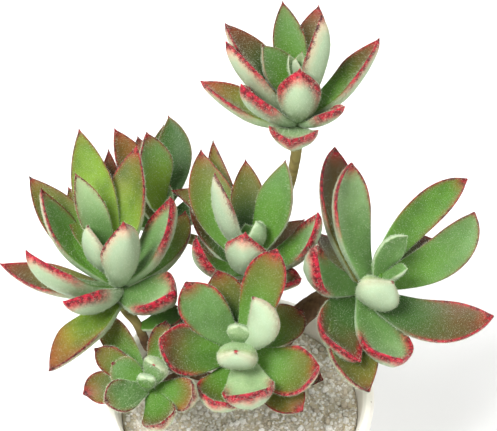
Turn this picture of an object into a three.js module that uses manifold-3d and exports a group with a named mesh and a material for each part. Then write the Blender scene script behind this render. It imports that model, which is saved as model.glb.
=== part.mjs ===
// Potted ruby slipper echeveria: seven fleshy rosettes on brown stems, in a plain white pot of gritty soil.
// Millimetres, +Z up, origin at the middle of the pot's underside. -Y is the side the plant is seen from.
import * as THREE from 'three';
import { mergeVertices } from 'three/addons/utils/BufferGeometryUtils.js';
import Module from 'manifold-3d';

const wasm = await Module();
wasm.setup();

// Driving sizes
const GAP = 0.3; // air left between pieces that rest on or in each other
const POT_HEIGHT = 76;
const RIM_RADIUS = 46;
const BASE_RADIUS = 33;
const WALL = 4;
const SOIL_LEVEL = 68;

const deg = THREE.MathUtils.degToRad;
const clamp = THREE.MathUtils.clamp;

// A closed geometry as a solid for joining and cutting, and back
function toSolid(geometry) {
  const skin = geometry.clone();
  for (const name of Object.keys(skin.attributes)) {
    if (name !== 'position') skin.deleteAttribute(name);
  }
  const merged = mergeVertices(skin, 1e-4);
  const mesh = new wasm.Mesh({
    numProp: 3,
    vertProperties: Float32Array.from(merged.attributes.position.array),
    triVerts: Uint32Array.from(merged.index.array),
  });
  mesh.merge();
  return new wasm.Manifold(mesh);
}

function toGeometry(solid) {
  const mesh = solid.getMesh();
  const geometry = new THREE.BufferGeometry();
  geometry.setAttribute('position', new THREE.BufferAttribute(mesh.vertProperties, 3));
  geometry.setIndex(new THREE.BufferAttribute(mesh.triVerts, 1));
  geometry.computeVertexNormals();
  return geometry;
}

// Pieces grown together become one skin. Small voids shut in between leaf bases are filled.
function growTogether(solids) {
  const joined = solids.reduce((whole, next) => whole.add(next));
  const skins = joined.decompose();
  return skins.reduce((largest, next) => (next.volume() > largest.volume() ? next : largest));
}

function turned(profile, sides) {
  const points = profile.map(([r, z]) => new THREE.Vector2(r, z));
  return new THREE.LatheGeometry(points, sides).rotateX(Math.PI / 2);
}

function named(name, geometry, colour, roughness) {
  const material = new THREE.MeshStandardMaterial({ color: colour, roughness, metalness: 0 });
  const mesh = new THREE.Mesh(geometry, material);
  mesh.name = name;
  return mesh;
}

// Pot: a thrown white pot with a rim band, a flat underside and a ring of drain holes
const POT_SIDES = 36;
const FLOOR = 6;
const DRAIN_RADIUS = 3.5;
const DRAIN_COUNT = 3;
const DRAIN_RING = 17; // from the pot's middle to the middle of each hole
const BAND_HEIGHT = 15;
const BAND_STEP = 2;
const LIP = 1.2; // rounding of the rim's edges
const BAND_SLOPE = 1; // how far the band's underside slants in and up
const HOLE_SIDES = 16;

function wallRadius(z) {
  // outside of the tapered body below the band
  return BASE_RADIUS + (RIM_RADIUS - BAND_STEP - BASE_RADIUS) * (z / POT_HEIGHT);
}

function makePot() {
  const bandFoot = POT_HEIGHT - BAND_HEIGHT;
  const profile = [
    [0, 0],
    [BASE_RADIUS - LIP, 0],
    [wallRadius(LIP), LIP],
    [wallRadius(bandFoot), bandFoot],
    [RIM_RADIUS - BAND_SLOPE, bandFoot + BAND_SLOPE],
    [RIM_RADIUS, POT_HEIGHT - LIP],
    [RIM_RADIUS - LIP, POT_HEIGHT],
    [RIM_RADIUS - WALL + LIP, POT_HEIGHT],
    [RIM_RADIUS - WALL, POT_HEIGHT - LIP],
    [wallRadius(FLOOR) - WALL, FLOOR],
    [0, FLOOR],
  ];
  let pot = toSolid(turned(profile, POT_SIDES));
  for (let i = 0; i < DRAIN_COUNT; i++) {
    const hole = new THREE.CylinderGeometry(DRAIN_RADIUS, DRAIN_RADIUS, 3 * FLOOR, HOLE_SIDES)
      .rotateX(Math.PI / 2)
      .translate(DRAIN_RING, 0, FLOOR / 2)
      .rotateZ((2 * Math.PI * (i + 0.5)) / DRAIN_COUNT);
    pot = pot.subtract(toSolid(hole));
  }
  return named('pot', toGeometry(pot), 0xece8df, 0.45);
}

// Soil: a gritty fill whose uneven top lies just under the rim, with a plain hole for the trunk
const SOIL_SIDES = 36;
const SOIL_RINGS = [0.97, 0.8, 0.62, 0.44, 0.26];
const SOIL_EDGE = 1; // the soil's edge lies this much lower than its middle
const TRUNK = { x: 5, y: 5, radius: 4.5, foot: 44, fork: 74 };
const TRUNK_HOLE_SIDES = 12;
const LUMPS = { height: 0.7, acrossX: 0.31, acrossY: 0.27, start: 1 };
const SWELL = { height: 0.5, slant: 0.16, start: 2 };

function soilRelief(x, y) {
  const lumps = LUMPS.height * Math.sin(LUMPS.acrossX * x + LUMPS.start) * Math.cos(LUMPS.acrossY * y);
  return lumps + SWELL.height * Math.sin(SWELL.slant * (x - y) + SWELL.start);
}

function insideRadius(z) {
  const low = wallRadius(FLOOR) - WALL;
  const high = RIM_RADIUS - WALL;
  return low + (high - low) * ((z - FLOOR) / (POT_HEIGHT - LIP - FLOOR));
}

function makeSoil() {
  const bottom = FLOOR + GAP;
  const top = insideRadius(SOIL_LEVEL) - GAP;
  const profile = [[0, bottom], [insideRadius(bottom) - GAP, bottom], [top, SOIL_LEVEL - SOIL_EDGE]];
  for (const share of SOIL_RINGS) profile.push([top * share, SOIL_LEVEL]);
  profile.push([0, SOIL_LEVEL]);
  const geometry = turned(profile, SOIL_SIDES);
  const place = geometry.attributes.position;
  for (let i = 0; i < place.count; i++) {
    if (place.getZ(i) > SOIL_LEVEL - SOIL_EDGE / 2) {
      place.setZ(i, SOIL_LEVEL + soilRelief(place.getX(i), place.getY(i)));
    }
  }
  const depth = TRUNK.fork - TRUNK.foot + GAP;
  const hole = new THREE.CylinderGeometry(TRUNK.radius + GAP, TRUNK.radius + GAP, depth, TRUNK_HOLE_SIDES)
    .rotateX(Math.PI / 2)
    .translate(TRUNK.x, TRUNK.y, TRUNK.fork - depth / 2);
  return named('soil', toGeometry(toSolid(geometry).subtract(toSolid(hole))), 0xa08f78, 1);
}

// Leaf: a boat-shaped fleshy blade. Its root sits on the rosette's axis and it ends in a point.
const LEAF_SIDES = 8;
const LEAF_STEPS = 5;
const ROUNDING = 0.75; // under 1 the section is boxier than an oval, so that the margins are thick
const SLENDER = 1.6; // over 1 the leaf stays narrow for longer behind its widest point
const DOME = { rise: 0.28, fade: 0.7 }; // the face's bulge as a share of the depth, and its loss by the tip
const CUP = { rise: 0.34, from: 0.1, run: 0.5 }; // how far the margins stand up, and where that begins
const KEEL_RUN = { from: 0.35, run: 0.5 };
const DEPTH = { root: 0.62, full: 0.5, fade: 5, round: 0.6 }; // depth at the root, where it is full, its end
const PLUMP_DEPTH = 0.3; // what a plump young leaf is deeper
const LEAF_KINDS = {
  // widest: place of the widest point; taper and blunt: how full and how round the run to the tip is;
  // neck: width at the root as a share of the whole; keel: how sharp the underside is near the tip;
  // thick: depth as a share of the width; bend: higher means that the blade bends nearer to its tip
  spoon: { widest: 0.68, taper: 2.5, blunt: 0.7, neck: 0.34, keel: 0.25, thick: 0.26, bend: 3.6 },
  lance: { widest: 0.58, taper: 1.8, blunt: 0.92, neck: 0.42, keel: 0.55, thick: 0.3, bend: 2.6 },
  broad: { widest: 0.64, taper: 2.4, blunt: 0.7, neck: 0.4, keel: 0.35, thick: 0.26, bend: 3 },
};

function axisOf([towards, tilt]) {
  return new THREE.Vector3(
    Math.sin(deg(tilt)) * Math.cos(deg(towards)),
    Math.sin(deg(tilt)) * Math.sin(deg(towards)),
    Math.cos(deg(tilt)),
  );
}

// The middle line runs from root to tip, bowed down off the leaf's face and swayed to its side.
// Gives the place at share t of the length, with the directions across the blade and off its face.
function leafLine(head, leaf) {
  const axis = axisOf(head.lean);
  const foot = new THREE.Vector3(...head.foot);
  const root = foot.clone().addScaledVector(axis, leaf.up);
  const chord = new THREE.Vector3(leaf.right, leaf.back, leaf.rise).add(foot).sub(root);
  const ahead = chord.clone().normalize();
  const level = new THREE.Vector3().crossVectors(axis, ahead).normalize();
  const side = level.applyAxisAngle(ahead, deg(leaf.roll));
  const top = new THREE.Vector3().crossVectors(ahead, side);
  const { bend } = LEAF_KINDS[head.kind];
  const crest = (1 / bend) ** (1 / (bend - 1)); // where t - t^bend is highest
  const crestHeight = crest - crest ** bend;
  const offset = (hump) => {
    const scale = hump / crestHeight;
    return side.clone().multiplyScalar(leaf.sway * scale).addScaledVector(top, -leaf.bow * scale);
  };
  return (t) => {
    const along = chord.clone().add(offset(1 - bend * t ** (bend - 1))).normalize();
    const across = side.clone().addScaledVector(along, -side.dot(along)).normalize();
    return {
      point: root.clone().addScaledVector(chord, t).add(offset(t - t ** bend)),
      across,
      face: new THREE.Vector3().crossVectors(along, across),
    };
  };
}

function leafWidth(t, { widest, taper, blunt, neck }) {
  if (t < widest) return neck + (1 - neck) * Math.sin((Math.PI / 2) * (t / widest)) ** SLENDER;
  return Math.max(0, 1 - ((t - widest) / (1 - widest)) ** taper) ** blunt;
}

function squared(value) {
  return Math.sign(value) * Math.abs(value) ** ROUNDING;
}

function leafFullness(t) {
  const grown = Math.sin((Math.PI / 2) * Math.min(t / DEPTH.full, 1));
  return (DEPTH.root + (1 - DEPTH.root) * grown) * (1 - t ** DEPTH.fade) ** DEPTH.round;
}

// A ball drawn out along the leaf: its poles become root and tip, its girth the blade's section
function makeLeaf(head, leaf) {
  const kind = LEAF_KINDS[head.kind];
  const { plump = 0 } = leaf;
  const line = leafLine(head, leaf);
  const geometry = new THREE.SphereGeometry(1, LEAF_SIDES, LEAF_STEPS);
  const place = geometry.attributes.position;
  for (let i = 0; i < place.count; i++) {
    const fromRoot = Math.acos(clamp(place.getY(i), -1, 1)) / Math.PI;
    const t = Math.sin((Math.PI / 2) * fromRoot);
    const girth = Math.hypot(place.getX(i), place.getZ(i)) > 1e-6 ? 1 : 0;
    const around = Math.atan2(place.getZ(i), place.getX(i));
    const side = squared(Math.cos(around)) * girth;
    const height = squared(Math.sin(around)) * girth;
    const half = (leaf.wide / 2) * leafWidth(t, kind);
    const deep = leaf.wide * kind.thick * leafFullness(t) * (1 + PLUMP_DEPTH * plump);
    const keel = kind.keel * clamp((t - KEEL_RUN.from) / KEEL_RUN.run, 0, 1) * (1 - plump);
    const belly = (1 - keel) * height - keel * (1 - Math.abs(side)) * girth;
    const dome = DOME.rise * (1 - DOME.fade * t) * (1 - plump) + plump;
    const bulge = deep * (height >= 0 ? dome * height : belly);
    const cup = CUP.rise * clamp((t - CUP.from) / CUP.run, 0, 1) * (1 - plump) * half * side ** 2;
    const { point, across, face } = line(t);
    point.addScaledVector(across, half * side).addScaledVector(face, bulge + cup);
    place.setXYZ(i, point.x, point.y, point.z);
  }
  return toSolid(geometry);
}

// Rosettes. foot and core are the core's foot point and length, lean its direction and tilt.
// Each leaf: height of its root up the core, where its tip stands right of, behind and above
// the foot, its width, how far it bows down and sways aside, and its roll about its length.
// A few young leaves have a ninth value: 0 is a hollow face as on the others, 1 a face as full as the back.
const LEAF_VALUES = ['up', 'right', 'back', 'rise', 'wide', 'bow', 'sway', 'roll', 'plump'];
const ROSETTES = {
  rosette_top: {
    foot: [19, 45, 157],
    lean: [90, 8],
    kind: 'lance',
    core: 17,
    leaves: [
      [0, -3, -18, 11, 16, 1, 0, 0],
      [1, -31, 5, 15, 13, 2, 0, 0],
      [1, -12, 22, 6, 11, 1, 0, 0],
      [2, 14, -12, 19, 9, 1, 0, 0],
      [2.5, -18, -7, 24, 13, 2, 0, 0],
      [4, 25, 8, 30, 13, 2.5, -1, 0],
      [4, 0, -6, 29, 14, 2.5, 0, 0],
      [4, -23, 5, 31, 13, 1, 0, 20],
      [7, -23, 13, 32, 14, 1, 0, 0],
      [8, 7, 30, 26, 12, 1, 0, 0],
      [8, 6.5, 3, 43, 13, 2, 0, 0],
      [10, -5, 23, 33, 11, 1, 0, 0],
      [10, -11.5, 9, 26.5, 12, 0.5, 0, -20],
      [15, 1, 5, 27, 5, 0, 0, 0],
      [15, -3, 6, 25, 5, 0, 0, 0],
      [16, -1, 3, 26, 5, 0, 0, 0],
    ],
  },
  rosette_left: {
    foot: [-40, 17, 107],
    lean: [150, 13],
    kind: 'lance',
    core: 14,
    leaves: [
      [0, -21, -33, 0, 14, 0.5, 0, 0],
      [1.5, -40, 7, 7, 13, 3, 0, 0],
      [2, -16, -20, 18, 14, 2, 0, 30],
      [2.5, 19, -12, 14.5, 19, 3, 0, 0],
      [4, 21, 31, 8, 15, 2, -4, 0],
      [4, -28, -7, 28, 15, 5, 0, 20],
      [5, 17, 12, 33, 15, 5, 0, 0],
      [5, 3, -3, 37, 14.5, 2, 0, -20],
      [4, -4, 34, 34, 10, 1, 0, 0],
      [7, -30, 26, 29, 15, 1.5, 1, 0],
      [5, -25, 16, 33, 13, 5, 0, 15],
      [7, -17.5, 26, 24, 12, 0.5, 0, 0],
      [8, -13, 33, 44, 14, 0.5, 0, 0],
      [9, 6, 29, 40, 15, 1, 0, 0],
      [11, -13, 14, 42, 10, 0.5, -0.5, 0],
      [11, -9, 2, 30, 13, 1.5, 0, 0],
    ],
  },
  rosette_back: {
    foot: [-28, 47, 108],
    lean: [60, 6],
    kind: 'lance',
    core: 9,
    leaves: [
      [0, -25, 14, 5, 12, 1, 0, 0],
      [1, 24, 9, 9, 12, 1, 0, 0],
      [3, -15, 21, 27, 13, 1, 0, 0],
      [4, -8, 28, 17, 11, 1, 0, 0],
      [7, 3, 31, 24, 13, 0.5, -3, 0],
      [4, 1, 32, 19, 11, 1, 0, 0],
      [8, -3, 8, 37, 13.5, 0, 0, -10],
      [7, -3, 6, 15, 7, 0.5, 0, 0],
      [7, 4, 6, 14, 7, 0.5, 0, 0],
      [8, 1, 7, 13, 6, 0, 0, 0],
    ],
  },
  rosette_middle: {
    foot: [4, 24, 108],
    lean: [90, 0],
    kind: 'lance',
    core: 15,
    leaves: [
      [0, 16, -11, 11, 11, 2, 0, 0],
      [1, -21, 22, 12, 12, 1, 0, 0],
      [1, 18, 21, 6, 12, 0.5, 0, 0],
      [1, -27, 26, 15, 13, 0.5, -6, 0],
      [3, -18, -6, 25, 11, 6, 0, 5],
      [4, 21.5, 1, 29, 13, 6, 0, 0],
      [7, -17, 29, 31, 15, 1, 3.5, -15],
      [5, -2, -7, 28, 15, 3.5, 0, 0],
      [4, -13, 35, 30, 9, 0.5, 2.5, 0],
      [7, -2, 24, 31, 12, 0.5, 0, 0],
      [10, 11, 14, 40, 13.5, 0.5, -2, 0],
      [10, -12, 8, 40, 10, 3, 0, 75],
      [12, -2, 4, 21, 7, 0, 0, 0, 0.3],
      [13, 1.5, -1, 27, 9, 1, 0, 0, 0.3],
    ],
  },
  rosette_right: {
    foot: [40, 21, 104],
    lean: [-23, 38],
    kind: 'broad',
    core: 14,
    leaves: [
      [0, -12, 29, -2, 12, 0.5, 0, 0],
      [0, 2, -37, -8, 19, 2, -5, 5],
      [1, 27, 24, 0, 12, 1, 0, 0],
      [2, 43, -18, 7, 16, 4, -5, 12],
      [3, -1, -31, 0, 18, 5, -6, 5],
      [3, -15, -9, 28, 16, 7, 0, 5],
      [4, -8, 34, 34, 16, 2, 3, 0],
      [4, 13, -31, 1, 19, 7, 1, 8],
      [5, 39, 17, 20, 14, 1, -6, 0],
      [6, 10, -10, 15, 15, 4, 0, 0, 1],
      [6, 36, 23, 30, 12, 2, 3, 0],
      [7, -3, 21, 39, 17, 3, 2, 0],
      [11, 15, 2, 24, 10, 1, 2, 0, 0.3],
      [12, 15, -6, 17, 6, 0, 0, 0, 0.5],
    ],
  },
  rosette_front: {
    foot: [1, -2, 98],
    lean: [-101, 24],
    kind: 'spoon',
    core: 11,
    leaves: [
      [0, 26, -10, -1, 10, 0.5, 0, 0],
      [0, -21, 21, 0, 12, 0.5, 0, 0],
      [1, -8, 13, 26, 13, 1, 0, 0],
      [0, 19, -22, -2, 14, 0.5, 0, 0],
      [1.5, -9, -25, 7, 17, 6, 0, 0],
      [2, 20, 17, 2, 14, 1, 0, 0],
      [4, -26, -8, 17, 17, 4, 2, -10],
      [4, 24, -16, 13, 17, 4, -3, 5],
      [5, 2, -28, 14, 17, 7, 0, 0],
      [5, -18, 7, 27, 15, 1.5, 1, -10],
      [6, 11, 15, 34, 14, 1, 0, 0],
      [6.5, -2, -13, 16.5, 13, 2, 0, 0, 1],
      [7, 3.5, -3, 31, 11, 1, 5.5, 180],
      [10, -1, -6, 21, 8, 0.5, 0, 0, 0.8],
    ],
  },
  rosette_low: {
    foot: [-29, -13, 94],
    lean: [-100, 37],
    kind: 'spoon',
    core: 8,
    leaves: [
      [0, -18, 8, 10, 9, 0.5, 0, 0],
      [1, 4.5, 20, 10, 8, 0.5, 0, 0],
      [2, -22, 0, -3, 11, 0.5, -1.5, 0],
      [3, -17, 24.5, 7, 10, 0.5, 0, 0],
      [3, 14, -14, 13, 11, 4, 0, 0],
      [3, 4, -21, 8, 12, 4, 0, 0],
      [4, -13, -16, 13, 11, 1, 0, 0],
      [5, -12, 2, 10, 10, 0, 0, 0],
      [5, 2, -6, 19, 8.5, 2.5, 0, 0, 0.6],
      [7, -1, -6, 12, 6, 0.5, 0, 0, 1],
    ],
  },
};
const CORE_RADIUS = 3;
const CORE_HEEL = 3; // the core's run below its lowest leaf
const CORE_TIP = 0.4; // its upper radius as a share of the lower
const CORE_SIDES = 10;
const ROSETTE_COLOURS = {
  rosette_top: 0x86a45a,
  rosette_left: 0x7f9c4e,
  rosette_back: 0x5f7f4c,
  rosette_middle: 0x7c9a52,
  rosette_right: 0x6f9150,
  rosette_front: 0x86a35c,
  rosette_low: 0x6c8f55,
};

function makeCore(head) {
  const axis = axisOf(head.lean);
  const length = head.core + CORE_HEEL;
  const core = new THREE.CylinderGeometry(CORE_RADIUS * CORE_TIP, CORE_RADIUS, length, CORE_SIDES);
  const upright = new THREE.Quaternion().setFromUnitVectors(new THREE.Vector3(0, 1, 0), axis);
  const middle = new THREE.Vector3(...head.foot).addScaledVector(axis, length / 2 - CORE_HEEL);
  return toSolid(core.applyQuaternion(upright).translate(middle.x, middle.y, middle.z));
}

function makeLeaves(head) {
  return head.leaves.map((values) => {
    const leaf = Object.fromEntries(LEAF_VALUES.map((key, i) => [key, values[i]]));
    return makeLeaf(head, leaf);
  });
}

function makeRosette(name, head) {
  const solids = [makeCore(head), ...makeLeaves(head)];
  return named(name, toGeometry(growTogether(solids)), ROSETTE_COLOURS[name], 0.7);
}

// Stems: one woody trunk in the soil, forking to a stalk and a green neck under each rosette
const FORK = [TRUNK.x, TRUNK.y, TRUNK.fork];
const STALKS = {
  trunk: { radius: TRUNK.radius, points: [[TRUNK.x, TRUNK.y, TRUNK.foot], FORK] },
  old_wood: { radius: 4.4, points: [FORK, [10, 11, 81], [17, 19, 88]] },
  rosette_right: { radius: 4, points: [[17, 19, 88], [24, 22, 94], [31, 24, 97]] },
  rosette_top: { radius: 1.8, points: [[9, 13, 84], [8, 30, 97], [8.5, 42, 108], [14.5, 44.5, 121]] },
  rosette_middle: { radius: 2.3, points: [[10, 11, 81], [7, 17, 89], [4, 22, 97]] },
  rosette_back: { radius: 2, points: [[6, 20, 91], [-2, 36, 97], [-12, 44, 102], [-20, 47, 103]] },
  rosette_left: { radius: 1.7, points: [FORK, [-8, 5, 77], [-20, 6, 80], [-30, 8, 88], [-35, 13, 97]] },
  rosette_low: { radius: 2, points: [[-17, 6, 80], [-25, -2, 83]] },
  rosette_front: { radius: 2.6, points: [FORK, [4, 5, 82]] },
};
const NECK_RADIUS = 1.9;
const NECK = 4; // straight run below a rosette's core
const STEM_LEAF = {
  foot: [-34, 12, 96],
  lean: [0, 0],
  kind: 'spoon',
  leaves: [[0, 15, 1, 5.5, 10, 0.5, 0, 0]],
};

function tube(path, radius, steps) {
  const section = new THREE.Shape().absarc(0, 0, radius, 0, Math.PI * 2);
  return toSolid(
    new THREE.ExtrudeGeometry(section, { steps, curveSegments: 4, bevelEnabled: false, extrudePath: path }),
  );
}

function knuckle(place, radius) {
  return toSolid(new THREE.IcosahedronGeometry(radius, 1).translate(place.x, place.y, place.z));
}

function makeStalk(name, { radius, points }) {
  const places = points.map((p) => new THREE.Vector3(...p));
  const head = ROSETTES[name];
  if (!head) return [tube(new THREE.CatmullRomCurve3(places), radius, points.length * 2 - 2)];
  const axis = axisOf(head.lean);
  const foot = new THREE.Vector3(...head.foot).addScaledVector(axis, -CORE_HEEL);
  const bend = foot.clone().addScaledVector(axis, -NECK);
  const top = foot.clone().addScaledVector(axis, -GAP);
  places.push(bend);
  return [
    knuckle(places[0], radius),
    tube(new THREE.CatmullRomCurve3(places), radius, points.length * 2),
    knuckle(bend, Math.max(radius, NECK_RADIUS)),
    tube(new THREE.LineCurve3(bend, top), NECK_RADIUS, 1),
  ];
}

function makeStems() {
  const solids = Object.entries(STALKS).flatMap(([name, stalk]) => makeStalk(name, stalk));
  solids.push(...makeLeaves(STEM_LEAF));
  return named('stems', toGeometry(growTogether(solids)), 0x7a6247, 0.85);
}

const plant = new THREE.Group();
plant.name = 'potted_ruby_slipper_echeveria';
plant.add(makePot(), makeSoil(), makeStems());
for (const [name, head] of Object.entries(ROSETTES)) plant.add(makeRosette(name, head));

export default plant;
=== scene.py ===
# Potted ruby slipper echeveria: seven velvety red-edged rosettes on brown stems, in a small white pot.
import math
import random

import bpy
import numpy as np
from mathutils import Matrix, Vector, noise


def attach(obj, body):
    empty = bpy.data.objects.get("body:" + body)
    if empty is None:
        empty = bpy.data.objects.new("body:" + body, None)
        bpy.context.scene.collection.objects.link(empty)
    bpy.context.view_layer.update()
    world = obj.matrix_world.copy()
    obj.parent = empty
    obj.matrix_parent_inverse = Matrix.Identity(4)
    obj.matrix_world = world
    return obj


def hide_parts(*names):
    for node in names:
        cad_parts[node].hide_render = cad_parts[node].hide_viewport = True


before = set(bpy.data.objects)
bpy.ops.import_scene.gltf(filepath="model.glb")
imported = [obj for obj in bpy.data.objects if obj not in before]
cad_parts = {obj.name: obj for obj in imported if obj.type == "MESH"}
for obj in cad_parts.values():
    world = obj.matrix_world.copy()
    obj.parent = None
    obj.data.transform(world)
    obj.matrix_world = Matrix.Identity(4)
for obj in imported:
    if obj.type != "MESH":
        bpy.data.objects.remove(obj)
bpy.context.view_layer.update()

MM = 0.001


# Studio: the plant stands on a plain pale floor under wide soft lamps. The camera looks down on it
# from the front at 45 degrees, from far enough away that the rosettes keep their proportions.
VIEW_POINT = Vector((3, 35, 126)) * MM
VIEW_FALL = math.radians(45)
VIEW_DISTANCE = 560 * MM
PIXEL_AT_PLANT = 0.335 * MM
FRAME_WIDTH = 497
SENSOR_WIDTH = 36
FLOOR_SIZE = 8
AIR_LIGHT = 0.37

sight = Vector((0, math.cos(VIEW_FALL), -math.sin(VIEW_FALL)))
bpy.ops.object.select_all(action="DESELECT")
bpy.ops.object.camera_add(
    location=VIEW_POINT - sight * VIEW_DISTANCE,
    rotation=(math.pi / 2 - VIEW_FALL, 0, 0),
)
camera = bpy.context.object
camera.data.sensor_width = SENSOR_WIDTH
camera.data.lens = SENSOR_WIDTH * VIEW_DISTANCE / (PIXEL_AT_PLANT * FRAME_WIDTH)
camera.data.clip_start = 0.01
bpy.context.scene.camera = camera
bpy.context.scene.view_settings.view_transform = "Standard"


def link(tree, kind, inputs=(), **settings):
    """A shader node, its sockets filled with values or with other nodes' outputs."""
    node = tree.nodes.new(kind)
    for name, value in settings.items():
        setattr(node, name, value)
    for name, value in dict(inputs).items():
        if isinstance(value, bpy.types.NodeSocket):
            tree.links.new(value, node.inputs[name])
        else:
            node.inputs[name].default_value = value
    return node


def mixed(tree, share, a, b):
    """The colour that lies the given share of the way from a to b."""
    node = link(tree, "ShaderNodeMix", {0: share, 6: a, 7: b}, data_type="RGBA")
    return node.outputs[2]


def ramped(tree, value, low, high, start=0.0, end=1.0):
    """A smooth step from start to end as value goes from low to high."""
    spots = {"Value": value, "From Min": low, "From Max": high, "To Min": start, "To Max": end}
    return link(tree, "ShaderNodeMapRange", spots, interpolation_type="SMOOTHSTEP").outputs[0]


def worked(tree, operation, *values):
    """The result of one sum on numbers or sockets."""
    return link(tree, "ShaderNodeMath", dict(enumerate(values)), operation=operation).outputs[0]


def paint(code):
    """A colour written as six hex digits of screen values, as light."""
    parts = [int(code[i:i + 2], 16) / 255 for i in (0, 2, 4)]
    return (*[c / 12.92 if c < 0.04045 else ((c + 0.055) / 1.055) ** 2.4 for c in parts], 1.0)


def new_finish(name, **constants):
    """A material with one Principled shader, whose constant sockets are set here."""
    material = bpy.data.materials.new(name)
    material.use_nodes = True
    shader = material.node_tree.nodes["Principled BSDF"]
    for socket, value in constants.items():
        shader.inputs[socket.replace("_", " ")].default_value = value
    return material, material.node_tree, shader


def clouds(tree, place, scale, detail=2.0):
    """Soft noise over the piece. Its scale, as that of every pattern here, is in cells per metre."""
    spots = {"Vector": place, "Scale": scale, "Detail": detail}
    return link(tree, "ShaderNodeTexNoise", spots).outputs["Fac"]


floor_finish, tree, shader = new_finish("studio_floor", Roughness=0.9, Specular_IOR_Level=0.1)
place = link(tree, "ShaderNodeTexCoord").outputs["Object"]
cloud = clouds(tree, place, 3.0)
tree.links.new(mixed(tree, cloud, paint("fbfbfa"), paint("f7f7f6")), shader.inputs["Base Color"])
bpy.ops.object.select_all(action="DESELECT")
bpy.ops.mesh.primitive_plane_add(size=FLOOR_SIZE)
floor = bpy.context.object
floor.name = "floor"
floor.data.materials.append(floor_finish)

LAMPS = {
    # place, size and power of each soft lamp
    "key": ((-0.6, -0.45, 1.2), 0.6, 27.0),
    "fill": ((0.7, -0.7, 0.8), 0.9, 6.5),
    "back": ((0.2, 1.0, 1.0), 0.9, 7.5),
}
for name, (spot, size, power) in LAMPS.items():
    bpy.ops.object.light_add(type="AREA", location=spot)
    lamp = bpy.context.object
    lamp.name = "lamp_" + name
    lamp.data.size = size
    lamp.data.energy = power
    lamp.rotation_euler = (VIEW_POINT - Vector(spot)).to_track_quat("-Z", "Y").to_euler()
world = bpy.data.worlds.new("studio_air")
bpy.context.scene.world = world
world.use_nodes = True
world.node_tree.nodes["Background"].inputs["Color"].default_value = (1, 1, 1, 1)
world.node_tree.nodes["Background"].inputs["Strength"].default_value = AIR_LIGHT


# Pot: a small thrown pot in warm white satin glaze, with a rim band. Its flat underside is left bare
# clay, and a ring of three drain holes goes through the floor. Its sizes are those of the solid pot.
POT_HEIGHT = 76 * MM
RIM_RADIUS = 46 * MM
BASE_RADIUS = 33 * MM
WALL = 4 * MM
FLOOR_THICK = 6 * MM
DRAIN_RADIUS = 3.5 * MM
DRAIN_COUNT = 3
DRAIN_RING = 17 * MM
BAND_HEIGHT = 15 * MM
BAND_STEP = 2 * MM
BAND_SLOPE = 1 * MM
LIP = 1.2 * MM
POT_SIDES = 96
DRAIN_SIDES = 32
EDGE_ROUND = 0.5 * MM
BARE_FOOT = (0.9 * MM, 1.4 * MM)
DRIP = 1.2 * MM


def wall_radius(z):
    """Outer radius of the wall below the rim band, at a height."""
    return BASE_RADIUS + (RIM_RADIUS - BAND_STEP - BASE_RADIUS) * (z / POT_HEIGHT)


def only(piece):
    """Makes this piece the one that is selected and active."""
    bpy.ops.object.select_all(action="DESELECT")
    piece.select_set(True)
    bpy.context.view_layer.objects.active = piece


def raised(tree, shader, height, strength, depth):
    """Lets a pattern stand out of the surface by up to the given depth."""
    bump = link(tree, "ShaderNodeBump", {"Height": height, "Strength": strength, "Distance": depth})
    tree.links.new(bump.outputs["Normal"], shader.inputs["Normal"])


band_foot = POT_HEIGHT - BAND_HEIGHT
pot_turns = [
    (wall_radius(LIP), LIP),
    (wall_radius(band_foot), band_foot),
    (RIM_RADIUS - BAND_SLOPE, band_foot + BAND_SLOPE),
    (RIM_RADIUS, POT_HEIGHT - LIP),
    (RIM_RADIUS - LIP, POT_HEIGHT),
    (RIM_RADIUS - WALL + LIP, POT_HEIGHT),
    (RIM_RADIUS - WALL, POT_HEIGHT - LIP),
    (wall_radius(FLOOR_THICK) - WALL, FLOOR_THICK),
]
bpy.ops.object.select_all(action="DESELECT")
bpy.ops.mesh.primitive_circle_add(vertices=POT_SIDES, radius=BASE_RADIUS - LIP, fill_type="NGON")
pot = bpy.context.object
pot.name = "glazed_pot"
bpy.ops.object.mode_set(mode="EDIT")
bpy.ops.mesh.select_all(action="SELECT")
radius, height = BASE_RADIUS - LIP, 0
for next_radius, next_height in pot_turns:
    rise = (0, 0, next_height - height)
    bpy.ops.mesh.extrude_region_move(TRANSFORM_OT_translate={"value": rise})
    bpy.ops.transform.resize(value=(next_radius / radius, next_radius / radius, 1))
    radius, height = next_radius, next_height
bpy.ops.mesh.select_all(action="SELECT")
bpy.ops.mesh.normals_make_consistent(inside=False)
bpy.ops.object.mode_set(mode="OBJECT")
for i in range(DRAIN_COUNT):
    way = 2 * math.pi * (i + 0.5) / DRAIN_COUNT
    spot = (DRAIN_RING * math.cos(way), DRAIN_RING * math.sin(way), FLOOR_THICK / 2)
    bpy.ops.object.select_all(action="DESELECT")
    bpy.ops.mesh.primitive_cylinder_add(
        vertices=DRAIN_SIDES, radius=DRAIN_RADIUS, depth=3 * FLOOR_THICK, location=spot,
    )
    drill = bpy.context.object
    only(pot)
    hole = pot.modifiers.new("drain_hole", "BOOLEAN")
    hole.object = drill
    bpy.ops.object.modifier_apply(modifier=hole.name)
    bpy.data.objects.remove(drill)
edge = pot.modifiers.new("soft_edges", "BEVEL")
edge.width = EDGE_ROUND
edge.segments = 3
edge.limit_method = "ANGLE"
edge.angle_limit = math.radians(20)
bpy.ops.object.modifier_apply(modifier=edge.name)
bpy.ops.object.shade_smooth_by_angle(angle=math.radians(35))

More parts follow.
